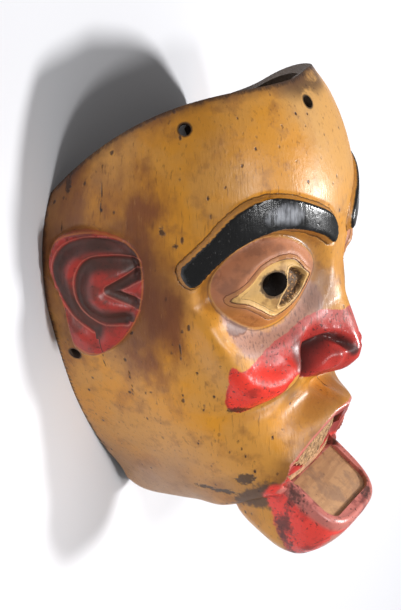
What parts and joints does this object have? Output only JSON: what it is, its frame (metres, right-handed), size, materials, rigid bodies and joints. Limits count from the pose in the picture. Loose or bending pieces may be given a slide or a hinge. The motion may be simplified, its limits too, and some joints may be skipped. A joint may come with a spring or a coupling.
{
  "type": "decorative wooden mask",
  "caption": "Carved and painted wooden face mask, hollow behind, with arched raised brows, pierced pupils, relief ears, a broad nose and a scoop-like lower lip standing far forward.",
  "frame": {"origin": "middle of the mask's length and width, on the plane of its back rim, on which it lies face up", "axes": "+Z out of the face, +Y towards the top edge of the forehead, +X towards the side of the face that is on the right when it is looked at from the front"},
  "size_m": [0.162, 0.2124, 0.1137],
  "materials": {
    "painted_wood": "ochre paint under an uneven semi-gloss varnish, with red lips, cheeks, nose and ears, black brows and bare worn wood"
  },
  "bodies": {
    "root": {"mask": "painted_wood"}
  },
  "joints": []
}
